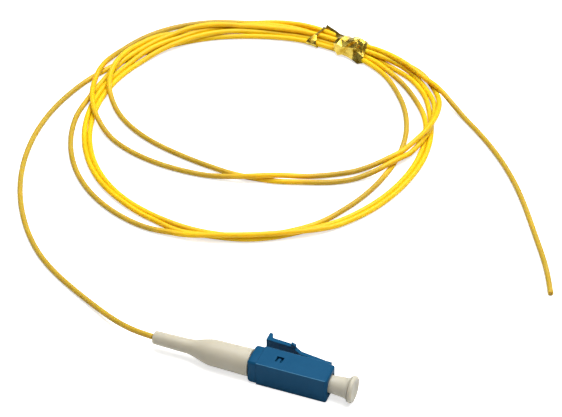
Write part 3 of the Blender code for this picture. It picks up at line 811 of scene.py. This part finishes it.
def along_plug(edge):
    first, second = (vert.co for vert in edge.verts)
    return abs(first.y - second.y) < TINY and abs(first.z - second.z) < TINY


def in_plane(edge, x):
    """True for an edge that lies wholly in the plane at x, across the plug."""
    return all(abs(vert.co.x - x) < TINY for vert in edge.verts)


round_over(housing, FRONT_EDGE, 0, lambda edge: in_plane(edge, PLUG_AXIS.x + HOUSING_LENGTH))
# Slot 1 carries the painted highlight material for the rounding of the long edges.
housing.data.materials.append(painted_highlight_blue_edge)
round_over(housing, HOUSING_EDGE, 1, along_plug)
bore_end = HOUSING_LENGTH - NOSE_BORE_DEPTH
carve(housing, plug_piece("nose_bore", turned_mesh(
    ((bore_end, 0), (bore_end, NOSE_BORE / 2), (HOUSING_LENGTH + MM, NOSE_BORE / 2),
     (HOUSING_LENGTH + MM, 0)), BORE_FACETS,
)))
window_left = WINDOW_AT - WINDOW_LENGTH / 2
window_right = WINDOW_AT + WINDOW_LENGTH / 2
window_low = WINDOW_OFFSET - WINDOW_WIDTH / 2
window_high = WINDOW_OFFSET + WINDOW_WIDTH / 2
for side in (-1, 1):
    window = prism_mesh(
        ((window_left, window_low), (window_left + WINDOW_SLOT, window_low),
         (window_left + WINDOW_SLOT, window_high - WINDOW_SLOT),
         (window_right - WINDOW_SLOT, window_high - WINDOW_SLOT),
         (window_right - WINDOW_SLOT, window_low), (window_right, window_low),
         (window_right, window_high), (window_left, window_high)),
        side * housing_half - WINDOW_DEPTH, side * housing_half + WINDOW_DEPTH,
    )
    carve(housing, plug_piece("catch_window", window))
even_shading(housing)
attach(housing, "pigtail")
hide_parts("plug_housing")

# Rear collar
# Short sleeve with rounded corners, moulded in the same blue plastic.
# It is pressed in behind the housing, closes it and grips the boot.
COLLAR_LENGTH = 0.0013
COLLAR_ROUND = 0.0005
COLLAR_REAR_EDGE = 0.0006
COLLAR_ROUND_STEPS = 6
COLLAR_REAR_STEPS = 4
COLLAR_SHARP_DEGREES = 50
collar_front = -SEAM
collar_rear = -CLEARANCE - COLLAR_LENGTH


def box_mesh(low, high):
    mesh = bmesh.new()
    bmesh.ops.create_cube(mesh, size=1.0)
    low, high = Vector(low), Vector(high)
    bmesh.ops.scale(mesh, vec=high - low, verts=mesh.verts)
    bmesh.ops.translate(mesh, vec=(low + high) / 2, verts=mesh.verts)
    return mesh


def round_edges(mesh, chosen, width, segments):
    edges = [edge for edge in mesh.edges if chosen(edge)]
    bmesh.ops.bevel(
        mesh, geom=edges, offset=width, segments=segments, profile=0.5,
        affect="EDGES", material=-1,
    )


collar_mesh = box_mesh(
    (collar_rear, -HOUSING_BELLY, -housing_half), (collar_front, HOUSING_BACK, housing_half)
)
round_edges(collar_mesh, along_plug, COLLAR_ROUND, COLLAR_ROUND_STEPS)
round_edges(collar_mesh, lambda edge: in_plane(edge, collar_rear), COLLAR_REAR_EDGE, COLLAR_REAR_STEPS)
collar = plug_piece("collar_sleeve", collar_mesh, blue_plastic, COLLAR_SHARP_DEGREES)
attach(collar, "pigtail")
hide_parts("rear_collar")

# Latch
# Springy arm of the same blue plastic, moulded in one with the housing.
# It has a peg on each side and a thumb hook at its end.
LATCH_THICKNESS = 0.00075
LATCH_ROOT_WIDTH = 0.0035
LATCH_ARM_WIDTH = 0.0020
LATCH_TAPER_START = 0.0089
LATCH_TAPER_LENGTH = 0.0030
LATCH_EDGE = 0.00016
ELBOW = (0.0053, 0.00434)
KNEE = (0.0034, 0.00547)
ARM_END = (-0.00017, 0.00573)
ROOT_HEEL = (0.0087, 0.00252)
HOOK_REAR = -0.0010
HOOK_TOP = 0.00667
HOOK_CREST = 0.00055
ROOT_CLEAR = 0.00002
ROOT_SHARP = 0.0008
PEG_SPAN = 0.0033
PEG_LENGTH = 0.0008
PEG_BEHIND_KNEE = 0.0001
PEG_REAR_HEIGHTS = (0.0053, 0.0048)
PEG_FRONT_HEIGHTS = (0.00438, 0.00495)
PEG_EDGE = 0.00012
arm_outline = (
    *hinge_arc(LEDGE_REAR - ROOT_CLEAR - HINGE[0], ROOT_CLEAR),
    ELBOW, KNEE, ARM_END, (HOOK_REAR + HOOK_CREST, HOOK_TOP), (HOOK_REAR, HOOK_TOP),
    (HOOK_REAR, ARM_END[1] - LATCH_THICKNESS), (KNEE[0], KNEE[1] - LATCH_THICKNESS),
    (ELBOW[0], ELBOW[1] - LATCH_THICKNESS), ROOT_HEEL, (HINGE[0], HOUSING_BACK + ROOT_CLEAR),
)
arm_mesh = prism_mesh(arm_outline, -LATCH_ROOT_WIDTH / 2, LATCH_ROOT_WIDTH / 2)
for vert in arm_mesh.verts:
    share = min(max((LATCH_TAPER_START - vert.co.x) / LATCH_TAPER_LENGTH, 0), 1)
    width = LATCH_ROOT_WIDTH + (LATCH_ARM_WIDTH - LATCH_ROOT_WIDTH) * share
    vert.co.z = math.copysign(width / 2, vert.co.z)
latch = plug_piece("latch_spring_arm", arm_mesh, blue_plastic)
sharp_from = PLUG_AXIS.x + LEDGE_REAR - ROOT_SHARP
round_over(latch, LATCH_EDGE, 0, lambda edge: min(vert.co.x for vert in edge.verts) < sharp_from)
peg_outline = [(KNEE[0] - PEG_BEHIND_KNEE, height) for height in PEG_REAR_HEIGHTS]
peg_outline += [(KNEE[0] + PEG_LENGTH, height) for height in PEG_FRONT_HEIGHTS]
latch_peg = plug_piece("latch_peg", prism_mesh(peg_outline, -PEG_SPAN / 2, PEG_SPAN / 2), blue_plastic)
round_over(latch_peg, PEG_EDGE)
carve(latch, latch_peg, "UNION")
even_shading(latch)
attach(latch, "latch")
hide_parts("latch_arm")

# Strain relief boot
# Sleeve moulded in soft whitish plastic and pushed on over the crimp.
# It narrows to a thin tip that the fibre leaves through.
BOOT_REAR = collar_rear - CLEARANCE
BOOT_TIP = 0.0022
BOOT_TIP_EDGE = 0.0002
BOOT_NECK = 0.0024
BOOT_NECK_LENGTH = 0.0057
BOOT_FLARE_LENGTH = 0.0047
BOOT_SHOULDER = 0.0043
BOOT_ROOT = HOUSING_WIDTH
BOOT_BORE = 0.0012
BOOT_BORE_DEPTH = 0.0021
CORNER_SHARE = 0.3
BOOT_FLARE_STEPS = 24
BOOT_FACETS = 72
neck_at = BOOT_END + BOOT_NECK_LENGTH
shoulder_at = neck_at + BOOT_FLARE_LENGTH
boot_profile = [
    (BOOT_END + BOOT_BORE_DEPTH, 0), (BOOT_END + BOOT_BORE_DEPTH, BOOT_BORE / 2),
    (BOOT_END, BOOT_BORE / 2), (BOOT_END, BOOT_TIP / 2 - BOOT_TIP_EDGE),
    (BOOT_END + BOOT_TIP_EDGE * CORNER_SHARE, BOOT_TIP / 2 - BOOT_TIP_EDGE * CORNER_SHARE),
    (BOOT_END + BOOT_TIP_EDGE, BOOT_TIP / 2),
]
for step in range(BOOT_FLARE_STEPS + 1):
    share = step / BOOT_FLARE_STEPS
    ease = share * share * (3 - 2 * share)
    radius = BOOT_NECK / 2 + (BOOT_SHOULDER - BOOT_NECK) / 2 * ease
    boot_profile.append((neck_at + share * (shoulder_at - neck_at), radius))
boot_profile += [
    (BOOT_REAR, BOOT_ROOT / 2), (collar_rear - SEAM, BOOT_ROOT / 2 - SEAM), (collar_rear - SEAM, 0),
]


def let_light_in(paint, depth):
    """Let light a little way into the plastic, the red of it deepest."""
    shader = paint.node_tree.nodes["Principled BSDF"]
    shader.inputs["Subsurface Weight"].default_value = 0.6
    shader.inputs["Subsurface Radius"].default_value = (1.0, 0.9, 0.7)
    shader.inputs["Subsurface Scale"].default_value = depth


boot_plastic = moulded_paint(
    "soft_ivory", (0.50, 0.46, 0.36), (0.56, 0.52, 0.42),
    grain_scale=5000.0, grain_depth=0.000004, gloss=0.30,
)
let_light_in(boot_plastic, 0.0015)
boot = plug_piece("boot_sleeve", turned_mesh(boot_profile, BOOT_FACETS), boot_plastic)
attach(boot, "pigtail")
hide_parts("strain_relief_boot")

# Ferrule
# Ground and polished pin of white zirconia that the fibre's end is glued into.
# The dust cap hides it until that is pulled off.
FERRULE_RADIUS = 0.000625
FERRULE_PROUD = 0.0008
FERRULE_CHAMFER = 0.0002
FERRULE_CHAMFER_MIDDLE = 0.00008
FERRULE_DOME = 0.00002
FERRULE_FACETS = 48
ferrule_rear = bore_end + SEAM
ferrule_tip = HOUSING_LENGTH + FERRULE_PROUD
ferrule_paint = moulded_paint(
    "white_zirconia", (0.80, 0.79, 0.75), (0.84, 0.83, 0.80),
    grain_scale=20000.0, grain_depth=0.000001, gloss=0.50,
)
ferrule_paint.node_tree.nodes["Principled BSDF"].inputs["Coat Weight"].default_value = 0.6
ferrule = plug_piece("ferrule_pin", turned_mesh(
    ((ferrule_rear, 0), (ferrule_rear, FERRULE_RADIUS), (ferrule_tip - FERRULE_CHAMFER, FERRULE_RADIUS),
     (ferrule_tip - FERRULE_CHAMFER_MIDDLE, FERRULE_RADIUS - FERRULE_CHAMFER_MIDDLE),
     (ferrule_tip, FERRULE_RADIUS - FERRULE_CHAMFER), (ferrule_tip + FERRULE_DOME, 0)),
    FERRULE_FACETS,
), ferrule_paint)
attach(ferrule, "pigtail")
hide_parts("ferrule")

# Dust cap
# Tube moulded in soft whitish translucent plastic, with a flared round rim for the fingers.
# It is pushed over the ferrule and pulled off before the plug is used.
CAP_LENGTH = 0.0040
CAP_INSERTED = 0.0037
CAP_TUBE = 0.0029
CAP_TUBE_FLARED = 0.0032
CAP_FLARE_LENGTH = 0.0012
CAP_RIM = 0.00446
CAP_RIM_THICKNESS = 0.0008
CAP_DISH = 0.00025
CAP_WALL_GAP = 0.00005
CAP_FLARE_STEPS = 9
CAP_LIP_STEPS = 6
CAP_FACETS = 72
cap_end = HOUSING_LENGTH + CAP_LENGTH
cap_bore_end = HOUSING_LENGTH + FERRULE_PROUD + CLEARANCE
cap_bore = FERRULE_RADIUS + CAP_WALL_GAP
rim_back = cap_end - CAP_RIM_THICKNESS
flare_start = rim_back - CAP_FLARE_LENGTH
cap_profile = [(cap_bore_end, 0), (cap_bore_end, cap_bore), (HOUSING_LENGTH - CAP_INSERTED, cap_bore)]
cap_profile += [(HOUSING_LENGTH - CAP_INSERTED, CAP_TUBE / 2), (HOUSING_LENGTH, CAP_TUBE / 2)]
cap_profile.append((flare_start, CAP_TUBE_FLARED / 2))
for step in range(1, CAP_FLARE_STEPS):
    turn = math.radians(90) * step / CAP_FLARE_STEPS
    radius = CAP_TUBE_FLARED / 2 + (CAP_RIM - CAP_TUBE_FLARED) / 2 * (1 - math.cos(turn))
    cap_profile.append((flare_start + CAP_FLARE_LENGTH * math.sin(turn), radius))
lip = CAP_RIM_THICKNESS / 2
for step in range(CAP_LIP_STEPS + 1):
    turn = math.radians(180) * step / CAP_LIP_STEPS
    cap_profile.append((rim_back + lip - lip * math.cos(turn), CAP_RIM / 2 - lip + lip * math.sin(turn)))
cap_profile += [(cap_end, CAP_RIM / 2 - lip), (cap_end - CAP_DISH * CORNER_SHARE, CAP_RIM / 2 - lip * 2),
                (cap_end - CAP_DISH, CAP_RIM / 2 - lip * 3), (cap_end - CAP_DISH, 0)]
cap_plastic = moulded_paint(
    "cap_ivory", (0.50, 0.47, 0.38), (0.55, 0.52, 0.43),
    grain_scale=6000.0, grain_depth=0.000004, gloss=0.35,
)
let_light_in(cap_plastic, 0.0010)
cap = plug_piece("dust_cap_shell", turned_mesh(cap_profile, CAP_FACETS), cap_plastic)
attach(cap, "cap")
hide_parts("dust_cap")
